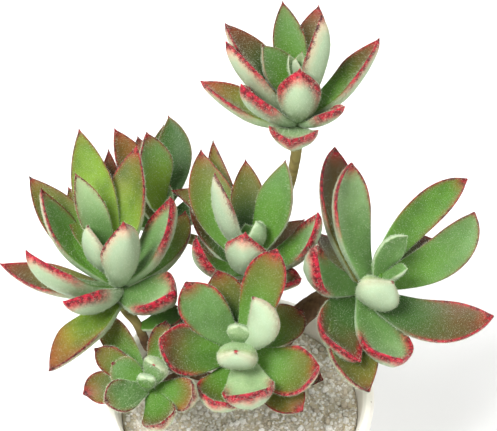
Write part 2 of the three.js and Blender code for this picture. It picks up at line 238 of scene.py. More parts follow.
glaze, tree, shader = new_finish(
    "white_glaze", Coat_Weight=0.35, Coat_Roughness=0.12, Specular_IOR_Level=0.5,
)
place = link(tree, "ShaderNodeTexCoord").outputs["Object"]
height = link(tree, "ShaderNodeSeparateXYZ", {"Vector": place}).outputs["Z"]
pooling = clouds(tree, place, 45.0, 4.0)
specks = link(tree, "ShaderNodeTexVoronoi", {"Vector": place, "Scale": 420.0, "Randomness": 1.0})
speck = ramped(tree, specks.outputs["Distance"], 0.10, 0.16, 1.0, 0.0)
some = clouds(tree, place, 130.0)
speck = worked(tree, "MULTIPLY", speck, ramped(tree, some, 0.56, 0.62))
ripple = clouds(tree, place, 900.0, 5.0)
drip = worked(tree, "ADD", height, worked(tree, "MULTIPLY", pooling, DRIP))
bare = ramped(tree, drip, *BARE_FOOT, 1.0, 0.0)
body = mixed(tree, pooling, paint("e9e4d8"), paint("f3efe6"))
body = mixed(tree, worked(tree, "MULTIPLY", speck, 0.55), body, paint("8b7257"))
clay = mixed(tree, ripple, paint("c2a589"), paint("d5bca0"))
tree.links.new(mixed(tree, bare, body, clay), shader.inputs["Base Color"])
satin = ramped(tree, pooling, 0.3, 0.7, 0.28, 0.4)
tree.links.new(ramped(tree, bare, 0.0, 1.0, satin, 0.9), shader.inputs["Roughness"])
raised(tree, shader, pooling, 0.25, 0.6 * MM)
pot.data.materials.append(glaze)
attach(pot, "root")
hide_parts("pot")


# Soil: a free-draining fill of humus and fine grit, a little below the rim and uneven on top.
# It is one filled body inside the pot.
SOIL_LEVEL = 68 * MM
SOIL_GAP = 0.3 * MM
TRUNK_AT = (5 * MM, 5 * MM)
TRUNK_RADIUS = 4.5 * MM
LUMPS = dict(height=0.7, across_x=0.31, across_y=0.27, start=1)
SWELL = dict(height=0.5, slant=0.16, start=2)
SOIL_SIDES = 90
SOIL_RINGS = 26
SOIL_EDGE = 3 * MM
CRUMB_SIZE = 2.2 * MM
CRUMB_HEIGHT = 0.5 * MM


def soil_relief(x, y):
    """How far the soil stands above its level at a place, in the same waves as the solid soil."""
    x, y = x / MM, y / MM
    lumps = LUMPS["height"] * math.sin(LUMPS["across_x"] * x + LUMPS["start"])
    swell = SWELL["height"] * math.sin(SWELL["slant"] * (x - y) + SWELL["start"])
    return (lumps * math.cos(LUMPS["across_y"] * y) + swell) * MM


def inside_radius(z):
    """Inner radius of the pot at a height above its floor."""
    low, high = wall_radius(FLOOR_THICK) - WALL, RIM_RADIUS - WALL
    return low + (high - low) * (z - FLOOR_THICK) / (POT_HEIGHT - LIP - FLOOR_THICK)


soil_top = inside_radius(SOIL_LEVEL) - SOIL_GAP
soil_foot = inside_radius(FLOOR_THICK) - SOIL_GAP
bpy.ops.object.select_all(action="DESELECT")
bpy.ops.mesh.primitive_circle_add(vertices=SOIL_SIDES, radius=soil_foot, fill_type="NGON")
soil = bpy.context.object
soil.name = "soil_fill"
bpy.ops.object.mode_set(mode="EDIT")
bpy.ops.mesh.select_all(action="SELECT")
bpy.ops.transform.translate(value=(0, 0, FLOOR_THICK + SOIL_GAP))
bpy.ops.mesh.extrude_region_move(
    TRANSFORM_OT_translate={"value": (0, 0, SOIL_LEVEL - FLOOR_THICK - SOIL_GAP)}
)
bpy.ops.transform.resize(value=(soil_top / soil_foot, soil_top / soil_foot, 1))
for ring in range(SOIL_RINGS):
    bpy.ops.mesh.inset(thickness=soil_top / (SOIL_RINGS + 1))
bpy.ops.mesh.poke()
bpy.ops.mesh.select_all(action="SELECT")
bpy.ops.mesh.normals_make_consistent(inside=False)
bpy.ops.object.mode_set(mode="OBJECT")
for vertex in soil.data.vertices:
    if vertex.co.z > SOIL_LEVEL - 1 * MM:
        x, y = vertex.co.x, vertex.co.y
        lump = noise.noise(Vector((x, y, 0)) / CRUMB_SIZE)
        sides = min(1.0, (soil_top - math.hypot(x, y)) / SOIL_EDGE)
        vertex.co.z = SOIL_LEVEL + (soil_relief(x, y) + CRUMB_HEIGHT * lump) * sides
only(soil)
bpy.ops.object.shade_smooth()

humus, tree, shader = new_finish("humus_and_grit", Roughness=0.95, Specular_IOR_Level=0.15)
place = link(tree, "ShaderNodeTexCoord").outputs["Object"]
crumbs = link(tree, "ShaderNodeTexVoronoi", {"Vector": place, "Scale": 900.0})
clumps = clouds(tree, place, 260.0, 6.0)
tint = link(tree, "ShaderNodeSeparateColor", {"Color": crumbs.outputs["Color"]})
colour = mixed(tree, clumps, paint("b5a993"), paint("e0d9cc"))
colour = mixed(tree, ramped(tree, tint.outputs[0], 0.55, 0.8), colour, paint("c9bba0"))
tree.links.new(colour, shader.inputs["Base Color"])
lumps = worked(tree, "SUBTRACT", clumps, crumbs.outputs["Distance"])
raised(tree, shader, lumps, 0.8, 0.7 * MM)
soil.data.materials.append(humus)
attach(soil, "root")
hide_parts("soil")


# Top grit: a pale dressing of crushed pumice and cream grit, strewn loose over the soil.
# Each grain is a chipped block, laid at its own turn and sunk about a third into the fill.
GRAIN_COUNT = 2000
GRAIN_TRIES = 40000
GRAIN_TONES = ["f3f0e9", "ebe6db", "f7f5f0", "e3dccf", "dad4c9", "efeadf", "cbbfad", "f5f2ec"]
GRAIN_SIZES = (0.8, 2.6)  # smallest and largest, in mm
GRAIN_CHAMFER = 0.24
SMALL_GRAINS = 2.2  # over 1 there are more small grains than large ones
GRAIN_REACH = 0.6  # a grain's reach round its middle, as a share of its size
GRAIN_SPACING = 0.42  # how near two grains lie, as a share of both sizes together
GRAIN_LIFT = 0.12  # height of a grain's middle over the soil, as a share of its size
GRAIN_BREADTH = (0.65, 1)  # breadth and height, as shares of its size
GRAIN_HEIGHT = (0.5, 0.85)
GRAIN_CHIPS = (0.84, 1.12)  # how far a corner is knocked in or stands out
GRAIN_TURN = 6.3  # radians, so that a grain may lie any way round
GRAIN_TILT = 0.5
GRAIN_SHADE = (0.85, 1.05)
GRIT_SEED = 11
grit_draw = random.Random(GRIT_SEED)

bpy.ops.object.select_all(action="DESELECT")
bpy.ops.mesh.primitive_cube_add(size=1)
grain = bpy.context.object
bpy.ops.object.mode_set(mode="EDIT")
bpy.ops.mesh.select_all(action="SELECT")
bpy.ops.mesh.bevel(offset=GRAIN_CHAMFER, segments=1)
bpy.ops.object.mode_set(mode="OBJECT")
grain_points = np.array([v.co for v in grain.data.vertices])
grain_faces = [list(p.vertices) for p in grain.data.polygons]
bpy.data.objects.remove(grain)


def mark(tree, name, output="Fac"):
    """What a piece's mesh carries under this name."""
    return link(tree, "ShaderNodeAttribute", attribute_name=name).outputs[output]


def strewn_places():
    """Points over the soil, no two grains nearer than their sizes allow."""
    small, large = GRAIN_SIZES
    taken = []
    tries = 0
    while len(taken) < GRAIN_COUNT and tries < GRAIN_TRIES:
        tries += 1
        size = grit_draw.uniform(0, 1) ** SMALL_GRAINS * (large - small) + small
        reach = soil_top / MM - GRAIN_REACH * size
        far = reach * math.sqrt(grit_draw.random())
        way = grit_draw.uniform(0, 2 * math.pi)
        x, y = far * math.cos(way), far * math.sin(way)
        from_trunk = math.hypot(x - TRUNK_AT[0] / MM, y - TRUNK_AT[1] / MM)
        if from_trunk < TRUNK_RADIUS / MM + GRAIN_REACH * size:
            continue
        if all((x - a) ** 2 + (y - b) ** 2 > (GRAIN_SPACING * (size + s)) ** 2 for a, b, s in taken):
            taken.append((x, y, size))
    return taken


verts, faces, tones = [], [], []
for x, y, size in strewn_places():
    squash = Matrix.Diagonal((1, grit_draw.uniform(*GRAIN_BREADTH), grit_draw.uniform(*GRAIN_HEIGHT)))
    turn = Matrix.Rotation(grit_draw.uniform(0, GRAIN_TURN), 3, "Z")
    turn = turn @ Matrix.Rotation(grit_draw.uniform(-GRAIN_TILT, GRAIN_TILT), 3, "X")
    chips = np.array([[grit_draw.uniform(*GRAIN_CHIPS) for axis in range(3)] for point in grain_points])
    points = (grain_points * chips * size * MM) @ np.array(turn @ squash).T
    level = SOIL_LEVEL + soil_relief(x * MM, y * MM) + GRAIN_LIFT * size * MM
    first = len(verts)
    verts.extend((points + np.array([x * MM, y * MM, level])).tolist())
    faces.extend([[first + i for i in face] for face in grain_faces])
    shade = grit_draw.uniform(*GRAIN_SHADE)
    tone = paint(grit_draw.choice(GRAIN_TONES))
    tones.extend([[c * shade for c in tone[:3]] + [1.0]] * len(points))
mesh = bpy.data.meshes.new("top_grit")
mesh.from_pydata(verts, [], faces)
grain_tone = mesh.attributes.new("grain_tone", "FLOAT_COLOR", "POINT")
grain_tone.data.foreach_set("color", np.array(tones).ravel())
grit = bpy.data.objects.new("top_grit", mesh)
bpy.context.scene.collection.objects.link(grit)

pumice, tree, shader = new_finish("crushed_pumice", Roughness=0.92, Specular_IOR_Level=0.2)
tone = mark(tree, "grain_tone", "Color")
place = link(tree, "ShaderNodeTexCoord").outputs["Object"]
pits = clouds(tree, place, 2400.0, 4.0)
# Each grain is darker in the pits of its face, where the bump sinks in.
darker_in_pits = mixed(tree, ramped(tree, pits, 0.35, 0.6, 0.3, 0.0), tone, paint("a09281"))
tree.links.new(darker_in_pits, shader.inputs["Base Color"])
raised(tree, shader, pits, 0.7, 0.3 * MM)
grit.data.materials.append(pumice)
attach(grit, "root")


# Rosettes: seven heads of fleshy leaves with ruby margins, velvety with short white down. The leaves of
# each stand in turns round a short green core, which leans its own way on its stalk.
ROSETTES = {
    # foot and core are the core's foot point and length in mm, lean its direction and tilt in degrees.
    # A leaf's row has, in mm, the height of its root up the core, where its tip stands right of, behind
    # and above the foot, its width, how far it bows down and how far it sways aside. Then come its roll
    # in degrees, for some leaves how plump they are, 1 being round right through, the colours of its
    # upper face towards the root and the end, and how red its margins are.
    "rosette_top": dict(foot=(19, 45, 157), lean=(90, 8), kind="lance", core=17, leaves=[
        (0, -3, -18, 11, 16, 1, 0, 0, "grey", "mint", 1.2),
        (1, -31, 5, 15, 13, 2, 0, 0, "lime", "orange", 0.9),
        (1, -12, 22, 6, 11, 1, 0, 0, "green", "olive", 0.6),
        (2, 14, -12, 19, 9, 1, 0, 0, "green", "brown", 1.15),
        (2.5, -18, -7, 24, 13, 2, 0, 0, "sage", "brown", 1.2),
        (4, 25, 8, 30, 13, 2.5, -1, 0, "green", "brown", 0.9),
        (4, 0, -6, 29, 14, 2.5, 0, 0, "green", "grey", 1.2),
        (4, -23, 5, 31, 13, 1, 0, 20, "olive", "orange", 0.9),
        (7, -23, 13, 32, 14, 1, 0, 0, "deep", "brown", 0.8),
        (8, 7, 30, 26, 12, 1, 0, 0, "olive", "brown", 0.8),
        (8, 6.5, 3, 43, 13, 2, 0, 0, "sage", "orange", 0.7),
        (10, -5, 23, 33, 11, 1, 0, 0, "green", "sage", 0.5),
        (10, -11.5, 9, 26.5, 12, 0.5, 0, -20, "green", "sage", 0.3),
        (15, 1, 5, 27, 5, 0, 0, 0, "sage", "mint", 0.1),
        (15, -3, 6, 25, 5, 0, 0, 0, "sage", "mint", 0.1),
        (16, -1, 3, 26, 5, 0, 0, 0, "sage", "mint", 0.1),
    ]),
    "rosette_left": dict(foot=(-40, 17, 107), lean=(150, 13), kind="lance", core=14, leaves=[
        (0, -21, -33, 0, 14, 0.5, 0, 0, "lime", "orange", 0.7),
        (1.5, -40, 7, 7, 13, 3, 0, 0, "olive", "brown", 0.9),
        (2, -16, -20, 18, 14, 2, 0, 30, "sage", "mint", 1.2),
        (2.5, 19, -12, 14.5, 19, 3, 0, 0, "sage", "mint", 1.35),
        (4, 21, 31, 8, 15, 2, -4, 0, "green", "olive", 0.6),
        (4, -28, -7, 28, 15, 5, 0, 20, "green", "sage", 1),
        (5, 17, 12, 33, 15, 5, 0, 0, "sage", "grey", 1.15),
        (5, 3, -3, 37, 14.5, 2, 0, -20, "sage", "mint", 0.8),
        (4, -4, 34, 34, 10, 1, 0, 0, "brown", "brown", 0.7),
        (7, -30, 26, 29, 15, 1.5, 1, 0, "green", "olive", 0.7),
        (5, -25, 16, 33, 13, 5, 0, 15, "green", "sage", 0.8),
        (7, -17.5, 26, 24, 12, 0.5, 0, 0, "green", "olive", 0.5),
        (8, -13, 33, 44, 14, 0.5, 0, 0, "lime", "lime", 0.6),
        (9, 6, 29, 40, 15, 1, 0, 0, "lime", "olive", 0.85),
        (11, -13, 14, 42, 10, 0.5, -0.5, 0, "sage", "mint", 0.5),
        (11, -9, 2, 30, 13, 1.5, 0, 0, "sage", "mint", 0.3),
    ]),
    "rosette_back": dict(foot=(-28, 47, 108), lean=(60, 6), kind="lance", core=9, leaves=[
        (0, -25, 14, 5, 12, 1, 0, 0, "green", "olive", 0.6),
        (1, 24, 9, 9, 12, 1, 0, 0, "deep", "olive", 0.6),
        (3, -15, 21, 27, 13, 1, 0, 0, "olive", "orange", 0.8),
        (4, -8, 28, 17, 11, 1, 0, 0, "olive", "brown", 0.7),
        (7, 3, 31, 24, 13, 0.5, -3, 0, "deep", "deep", 0.3),
        (4, 1, 32, 19, 11, 1, 0, 0, "deep", "deep", 0.3),
        (8, -3, 8, 37, 13.5, 0, 0, -10, "lime", "sage", 0.8),
        (7, -3, 6, 15, 7, 0.5, 0, 0, "sage", "grey", 0.1),
        (7, 4, 6, 14, 7, 0.5, 0, 0, "sage", "grey", 0.1),
        (8, 1, 7, 13, 6, 0, 0, 0, "sage", "mint", 0.1),
    ]),
    "rosette_middle": dict(foot=(4, 24, 108), lean=(90, 0), kind="lance", core=15, leaves=[
        (0, 16, -11, 11, 11, 2, 0, 0, "grey", "brown", 1.1),
        (1, -21, 22, 12, 12, 1, 0, 0, "deep", "brown", 0.5),
        (1, 18, 21, 6, 12, 0.5, 0, 0, "brown", "brown", 0.5),
        (1, -27, 26, 15, 13, 0.5, -6, 0, "green", "olive", 0.6),
        (3, -18, -6, 25, 11, 6, 0, 5, "green", "grey", 1.2),
        (4, 21.5, 1, 29, 13, 6, 0, 0, "green", "grey", 1.1),
        (7, -17, 29, 31, 15, 1, 3.5, -15, "green", "olive", 0.8),
        (5, -2, -7, 28, 15, 3.5, 0, 0, "sage", "mint", 1),
        (4, -13, 35, 30, 9, 0.5, 2.5, 0, "green", "olive", 0.7),
        (7, -2, 24, 31, 12, 0.5, 0, 0, "deep", "olive", 0.6),
        (10, 11, 14, 40, 13.5, 0.5, -2, 0, "green", "sage", 0.3),
        (10, -12, 8, 40, 10, 3, 0, 75, "deep", "olive", 0.4),
        (12, -2, 4, 21, 7, 0, 0, 0, 0.3, "green", "sage", 0),
        (13, 1.5, -1, 27, 9, 1, 0, 0, 0.3, "green", "sage", 0),
    ]),
    "rosette_right": dict(foot=(40, 21, 104), lean=(-23, 38), kind="broad", core=14, leaves=[
        (0, -12, 29, -2, 12, 0.5, 0, 0, "olive", "dark", 0.4),
        (0, 2, -37, -8, 19, 2, -5, 5, "deep", "olive", 0.6),
        (1, 27, 24, 0, 12, 1, 0, 0, "deep", "dark", 0.4),
        (2, 43, -18, 7, 16, 4, -5, 12, "deep", "brown", 0.9),
        (3, -1, -31, 0, 18, 5, -6, 5, "deep", "brown", 1.1),
        (3, -15, -9, 28, 16, 7, 0, 5, "sage", "grey", 1.25),
        (4, -8, 34, 34, 16, 2, 3, 0, "olive", "brown", 0.9),
        (4, 13, -31, 1, 19, 7, 1, 8, "sage", "grey", 1.2),
        (5, 39, 17, 20, 14, 1, -6, 0, "green", "sage", 0.4),
        (6, 10, -10, 15, 15, 4, 0, 0, 1, "mint", "mint", 0.2),
        (6, 36, 23, 30, 12, 2, 3, 0, "green", "green", 0.8),
        (7, -3, 21, 39, 17, 3, 2, 0, "sage", "grey", 0.9),
        (11, 15, 2, 24, 10, 1, 2, 0, 0.3, "sage", "sage", 0),
        (12, 15, -6, 17, 6, 0, 0, 0, 0.5, "sage", "sage", 0),
    ]),
    "rosette_front": dict(foot=(1, -2, 98), lean=(-101, 24), kind="spoon", core=11, leaves=[
        (0, 26, -10, -1, 10, 0.5, 0, 0, "dark", "dark", 0.5),
        (0, -21, 21, 0, 12, 0.5, 0, 0, "deep", "dark", 0.5),
        (1, -8, 13, 26, 13, 1, 0, 0, "deep", "olive", 0.75),
        (0, 19, -22, -2, 14, 0.5, 0, 0, "olive", "olive", 0.8),
        (1.5, -9, -25, 7, 17, 6, 0, 0, "green", "olive", 1),
        (2, 20, 17, 2, 14, 1, 0, 0, "green", "olive", 0.6),
        (4, -26, -8, 17, 17, 4, 2, -10, "green", "brown", 1),
        (4, 24, -16, 13, 17, 4, -3, 5, "green", "olive", 1),
        (5, 2, -28, 14, 17, 7, 0, 0, "mint", "mint", 1.15),
        (5, -18, 7, 27, 15, 1.5, 1, -10, "sage", "sage", 0.9),
        (6, 11, 15, 34, 14, 1, 0, 0, "green", "olive", 0.9),
        (6.5, -2, -13, 16.5, 13, 2, 0, 0, 1, "mint", "mint", 0.2),
        (7, 3.5, -3, 31, 11, 1, 5.5, 180, "mint", "mint", 0.28),
        (10, -1, -6, 21, 8, 0.5, 0, 0, 0.8, "sage", "mint", 0),
    ]),
    "rosette_low": dict(foot=(-29, -13, 94), lean=(-100, 37), kind="spoon", core=8, leaves=[
        (0, -18, 8, 10, 9, 0.5, 0, 0, "green", "olive", 0.5),
        (1, 4.5, 20, 10, 8, 0.5, 0, 0, "green", "olive", 0.6),
        (2, -22, 0, -3, 11, 0.5, -1.5, 0, "deep", "olive", 0.8),
        (3, -17, 24.5, 7, 10, 0.5, 0, 0, "green", "olive", 0.6),
        (3, 14, -14, 13, 11, 4, 0, 0, "green", "orange", 0.7),
        (3, 4, -21, 8, 12, 4, 0, 0, "green", "brown", 0.75),
        (4, -13, -16, 13, 11, 1, 0, 0, "sage", "sage", 0.65),
        (5, -12, 2, 10, 10, 0, 0, 0, "green", "sage", 0.25),
        (5, 2, -6, 19, 8.5, 2.5, 0, 0, 0.6, "sage", "grey", 0.14),
        (7, -1, -6, 12, 6, 0.5, 0, 0, 1, "green", "sage", 0),
    ]),
}
LEAF_TONES = {
    "lime": "6e8e22", "green": "4b781a", "deep": "2d5013", "olive": "62601a", "brown": "5c381b",
    "dark": "331b10", "sage": "5a8040", "grey": "7f9e68", "mint": "98b380", "orange": "8c501f",
}
PALE_UNDERSIDE = "a8ba9c"
UNDER_GREEN = dict(end=0.12, root=0.36, young=0.3)  # shares of the face's green in the pale underside
END_TONE = dict(start=0.4, full=0.95, sides=0.15)  # where the end's colour begins and is full
OWN_RANGE = 10.0  # each leaf draws a value up to this, which sets how deep its green runs
SHORT_ROW = 11  # entries of a row that doesn't say how plump the leaf is
LEAF_KINDS = {
    # widest: place of the widest point; taper and blunt: how full and how round the run to the tip is;
    # neck: width at the root as a share of the whole; keel: how sharp the underside is near the tip;
    # thick: depth as a share of the width; bend: higher means that the blade bends nearer to its tip
    "spoon": dict(widest=0.68, taper=2.5, blunt=0.7, neck=0.34, keel=0.25, thick=0.26, bend=3.6),
    "lance": dict(widest=0.58, taper=1.8, blunt=0.92, neck=0.42, keel=0.55, thick=0.3, bend=2.6),
    "broad": dict(widest=0.64, taper=2.4, blunt=0.7, neck=0.4, keel=0.35, thick=0.26, bend=3),
}
ROUNDING = 0.75  # under 1 the section is boxier than an oval, so that the margins are thick
SLENDER = 1.6  # over 1 the leaf stays narrow for longer behind its widest point
DOME = dict(rise=0.28, fade=0.7)  # the face's bulge as a share of the depth, and its loss by the tip
CUP = dict(rise=0.34, start=0.1, run=0.5)  # how far the margins stand up, and where that begins
KEEL_RUN = dict(start=0.35, run=0.5)
DEPTH = dict(root=0.62, full=0.5, fade=5, round=0.6)  # depth at the root, where it is full, its end
PLUMP_DEPTH = 0.3  # what a plump young leaf is deeper
WAVER = dict(height=0.25, waves=(5, 9), start=(0, 6), run=(0.2, 0.5))  # how a blade waves off its line
POLE = 1e-6  # nearer to the blank's axis than this, a point is one of its two ends
TIP_POINT = dict(start=0.985, reach=0.6)  # where the sharp end begins, and its length in mm
MARGIN_DEPTH = 0.6  # how much depth counts in the distance from the margin
CORE_RADIUS = 3
CORE_HEEL = 3  # the core's run below its lowest leaf
CORE_TIP = 0.4  # its upper radius as a share of the lower
CORE_SIDES = 20


def axis_of(lean):
    """The direction of a core that leans: towards which way and by how much, in degrees."""
    towards, tilt = (math.radians(a) for a in lean)
    aside = math.sin(tilt)
    return np.array([aside * math.cos(towards), aside * math.sin(towards), math.cos(tilt)])


def unit(vectors):
    """The vectors, each made one long."""
    return vectors / np.linalg.norm(vectors, axis=-1, keepdims=True)


def eased(low, high, value):
    """A smooth step from 0 to 1 as value goes from low to high."""
    share = np.clip((value - low) / (high - low), 0, 1)
    return share * share * (3 - 2 * share)


def leaf_line(head, leaf, t):
    """Points of the blade's middle line at shares t of its length, with directions across and off it."""
    up, right, back, rise, wide, bow, sway, roll = leaf[:8]
    axis, foot, bend = axis_of(head["lean"]), np.array(head["foot"]), LEAF_KINDS[head["kind"]]["bend"]
    root = foot + axis * up
    chord = foot + (right, back, rise) - root
    ahead = unit(chord)
    side = unit(np.cross(axis, ahead))
    turn = math.radians(roll)
    side = side * math.cos(turn) + np.cross(ahead, side) * math.sin(turn)
    crest = (1 / bend) ** (1 / (bend - 1))
    arc = (side * sway - np.cross(ahead, side) * bow) / (crest - crest ** bend)
    point = root + np.outer(t, chord) + np.outer(t - t ** bend, arc)
    along = unit(chord + np.outer(1 - bend * t ** (bend - 1), arc))
    across = unit(side - along * (along @ side)[:, None])
    return point, along, across, np.cross(along, across)


def leaf_width(t, kind):
    """Share of the full width at shares t of the length."""
    neck, widest = kind["neck"], kind["widest"]
    grow = neck + (1 - neck) * np.sin(np.pi / 2 * np.clip(t / widest, 0, 1)) ** SLENDER
    narrow = 1 - np.clip((t - widest) / (1 - widest), 0, 1) ** kind["taper"]
    return np.where(t < widest, grow, np.clip(narrow, 0, 1) ** kind["blunt"])


def squared(values):
    """Places on a circle moved out towards a rounded square."""
    return np.sign(values) * np.abs(values) ** ROUNDING


def lay_leaf(blank, head, leaf, draw):
    """Places of the blank's points on one leaf, in mm, with what its finish needs to know."""
    wide = leaf[4]
    root_tone, end_tone, red = leaf[-3:]
    plump = leaf[8] if len(leaf) > SHORT_ROW else 0
    # the blank's rings lie closer together towards the tip
    t = np.sin(np.pi / 2 * np.arccos(np.clip(-blank[:, 2], -1, 1)) / np.pi)
    girth = (np.hypot(blank[:, 0], blank[:, 1]) > POLE).astype(float)
    around = np.arctan2(blank[:, 1], blank[:, 0])
    across, height = squared(np.cos(around)) * girth, squared(np.sin(around)) * girth
    kind = LEAF_KINDS[head["kind"]]
    half = wide / 2 * leaf_width(t, kind)
    filling = np.sin(np.pi / 2 * np.clip(t / DEPTH["full"], 0, 1))
    full = (DEPTH["root"] + (1 - DEPTH["root"]) * filling) * (1 - t ** DEPTH["fade"]) ** DEPTH["round"]
    deep = wide * kind["thick"] * full * (1 + PLUMP_DEPTH * plump)
    keel = kind["keel"] * np.clip((t - KEEL_RUN["start"]) / KEEL_RUN["run"], 0, 1) * (1 - plump)
    belly = (1 - keel) * height - keel * (1 - np.abs(across)) * girth
    dome = DOME["rise"] * (1 - DOME["fade"] * t) * (1 - plump) + plump
    bulge = deep * np.where(height >= 0, dome * height, belly)
    cupped = CUP["rise"] * np.clip((t - CUP["start"]) / CUP["run"], 0, 1) * (1 - plump)
    cup = cupped * half * across ** 2
    line, along, side, face = leaf_line(head, leaf, t)
    waves = np.sin(t * draw.uniform(*WAVER["waves"]) + draw.uniform(*WAVER["start"]))
    waver = WAVER["height"] * waves * eased(*WAVER["run"], t)
    point = line + side * (half * across)[:, None] + face * (bulge + cup + waver)[:, None]
    point += along * (TIP_POINT["reach"] * eased(TIP_POINT["start"], 1.0, t))[:, None]
    start, end = np.array(paint(LEAF_TONES[root_tone])), np.array(paint(LEAF_TONES[end_tone]))
    share = eased(END_TONE["start"], END_TONE["full"], t + END_TONE["sides"] * np.abs(across) ** 2)[:, None]
    top = start * (1 - share) + end * share
    young = UNDER_GREEN["young"] if 0 < plump < 1 else 0
    greener = (UNDER_GREEN["end"] + UNDER_GREEN["root"] * (1 - t) + young)[:, None]
    under = np.array(paint(PALE_UNDERSIDE)) * (1 - greener) + start * greener
    ones = np.ones(len(t))
    marks = {
        "margin": np.hypot(half * (1 - np.abs(across)), MARGIN_DEPTH * deep * height),
        "tip": np.linalg.norm(point - point[np.argmax(t)], axis=1), "along": t, "upper": height,
        "red": red * ones, "own": draw.uniform(0, OWN_RANGE) * ones,
    }
    return point, marks, top, under


BLANK_SPOKES = 28
BLANK_RINGS = 24


def in_fixed_order(ball):
    """The ball's mesh, its points and faces in an order that is the same in every run."""
    points = np.array([v.co for v in ball.vertices])
    ring = np.round(np.arccos(np.clip(points[:, 2], -1, 1)) / np.pi * BLANK_RINGS)
    spoke = np.round(np.arctan2(points[:, 1], points[:, 0]) / (2 * np.pi) * BLANK_SPOKES) % BLANK_SPOKES
    order = np.lexsort((spoke, ring))
    rank = np.argsort(order)
    faces = []
    for polygon in ball.polygons:
        loop = rank[list(polygon.vertices)].tolist()
        first = loop.index(min(loop))
        faces.append(loop[first:] + loop[:first])
    mesh = bpy.data.meshes.new("leaf_blank")
    mesh.from_pydata(points[order].round(6).tolist(), [], sorted(faces))
    return mesh


bpy.ops.object.select_all(action="DESELECT")
bpy.ops.mesh.primitive_uv_sphere_add(segments=BLANK_SPOKES, ring_count=BLANK_RINGS, radius=1)
leaf_blank = bpy.context.object
leaf_blank.name = "leaf_blank"
leaf_blank.data = in_fixed_order(leaf_blank.data)
bpy.ops.object.shade_smooth()
blank_points = np.array([v.co for v in leaf_blank.data.vertices])

skin, tree, shader = new_finish(
    "velvet_leaf", Sheen_Weight=0.03, Sheen_Roughness=0.4, Specular_IOR_Level=0.3,
    Subsurface_Weight=0.06, Subsurface_Scale=0.0015,
)
shader.inputs["Sheen Tint"].default_value = paint("f0fae8")
place = link(tree, "ShaderNodeTexCoord").outputs["Object"]
blotch = clouds(tree, place, 800.0, 4.0)
stipple = clouds(tree, place, 3800.0)
drift = clouds(tree, place, 130.0, 3.0)
red, upper, margin, along, tip = (mark(tree, name) for name in ("red", "upper", "margin", "along", "tip"))
ragged = worked(tree, "MULTIPLY", worked(tree, "SUBTRACT", blotch, 0.5), 1.5)
ragged = worked(tree, "ADD", ragged, worked(tree, "MULTIPLY", worked(tree, "SUBTRACT", stipple, 0.5), 1.8))
face_side = ramped(tree, upper, -0.25, 0.15)

# The red band is widest on the upper face's margin and a little narrower under it. It joins the red tip.
full = ramped(tree, red, 0.75, 1.5, 1.1, 5.9)
reach = worked(tree, "MULTIPLY", full, ramped(tree, face_side, 0.0, 1.0, 0.8, 1.0))
edge = worked(tree, "DIVIDE", worked(tree, "ADD", margin, ragged), worked(tree, "ADD", reach, 0.2))
edge = ramped(tree, edge, 0.35, 1.15, 1.0, 0.0)
edge = worked(tree, "MULTIPLY", edge, ramped(tree, along, 0.35, 0.7))
edge = worked(tree, "MULTIPLY", edge, ramped(tree, red, 0.15, 0.45))
reach = worked(tree, "ADD", worked(tree, "MULTIPLY", red, 4.4), 0.2)
end = worked(tree, "DIVIDE", worked(tree, "ADD", tip, ragged), reach)
end = worked(tree, "MULTIPLY", ramped(tree, end, 0.3, 1.25, 1.0, 0.0), ramped(tree, red, 0.02, 0.1))
ruby = worked(tree, "MAXIMUM", edge, end)

# It is crimson on leaves with much red, darker on the others, and crimson in the youngest leaves' dots.
dark_red = mixed(tree, ramped(tree, blotch, 0.35, 0.65), paint("37090a"), paint("82181e"))
lip_red = mixed(tree, ramped(tree, blotch, 0.38, 0.62), paint("5e0615"), paint("b0142f"))
red_tone = mixed(tree, ramped(tree, red, 0.7, 0.98), dark_red, lip_red)
red_tone = mixed(tree, ramped(tree, red, 0.22, 0.3, 1.0, 0.0), red_tone, lip_red)

# The flesh has one colour above and one below. It is deeper in drifts, on each leaf to its own measure.
flesh = mixed(tree, face_side, mark(tree, "under_tone", "Color"), mark(tree, "top_tone", "Color"))
deeper = ramped(tree, drift, 0.35, 0.7, 0.0, 0.35)
deeper = worked(tree, "MULTIPLY", deeper, ramped(tree, mark(tree, "own"), 0.0, OWN_RANGE, 0.6, 1.4))
deeper = worked(tree, "MULTIPLY", deeper, ramped(tree, face_side, 0.0, 1.0, 0.3, 1.0))
flesh = mixed(tree, deeper, flesh, paint("2f5016"))

# The margin has a pale rim where it has little red, which is painted sheen of the down catching the light
# along the edge, and a blush lies beside the red and round the tip.
rim = ramped(tree, worked(tree, "ADD", margin, ragged), 0.0, 0.8, 0.45, 0.0)
rim = worked(tree, "MULTIPLY", rim, ramped(tree, red, 0.5, 0.95, 1.0, 0.2))
flesh = mixed(tree, rim, flesh, paint("d3dfbf"))
blush = ramped(tree, worked(tree, "ADD", margin, ragged), 0.5, 2.8, 0.5, 0.0)
blush = worked(tree, "MULTIPLY", worked(tree, "MULTIPLY", blush, red), ramped(tree, along, 0.35, 0.8))
near_tip = ramped(tree, worked(tree, "ADD", tip, ragged), 2.0, 8.0, 0.6, 0.0)
blush = worked(tree, "MAXIMUM", blush, worked(tree, "MULTIPLY", near_tip, ramped(tree, red, 0.3, 1.0)))
flesh = mixed(tree, blush, flesh, mixed(tree, face_side, paint("e08f7a"), paint("93401f")))
colour = mixed(tree, ruby, flesh, red_tone)

# Fine pale dots are the finest of the down, partly its own white and partly its painted sheen. They are
# fainter on the red.
down_and_sheen = ramped(tree, stipple, 0.5, 0.74, 0.0, 0.14)
down_and_sheen = worked(tree, "MULTIPLY", down_and_sheen, ramped(tree, ruby, 0.0, 1.0, 1.0, 0.3))
colour = mixed(tree, down_and_sheen, colour, paint("e6ecd8"))
tree.links.new(colour, shader.inputs["Base Color"])
tree.links.new(ramped(tree, stipple, 0.3, 0.7, 0.62, 0.5), shader.inputs["Roughness"])
nap = worked(tree, "ADD", worked(tree, "MULTIPLY", stipple, 0.5), blotch)
raised(tree, shader, nap, 0.35, 0.3 * MM)


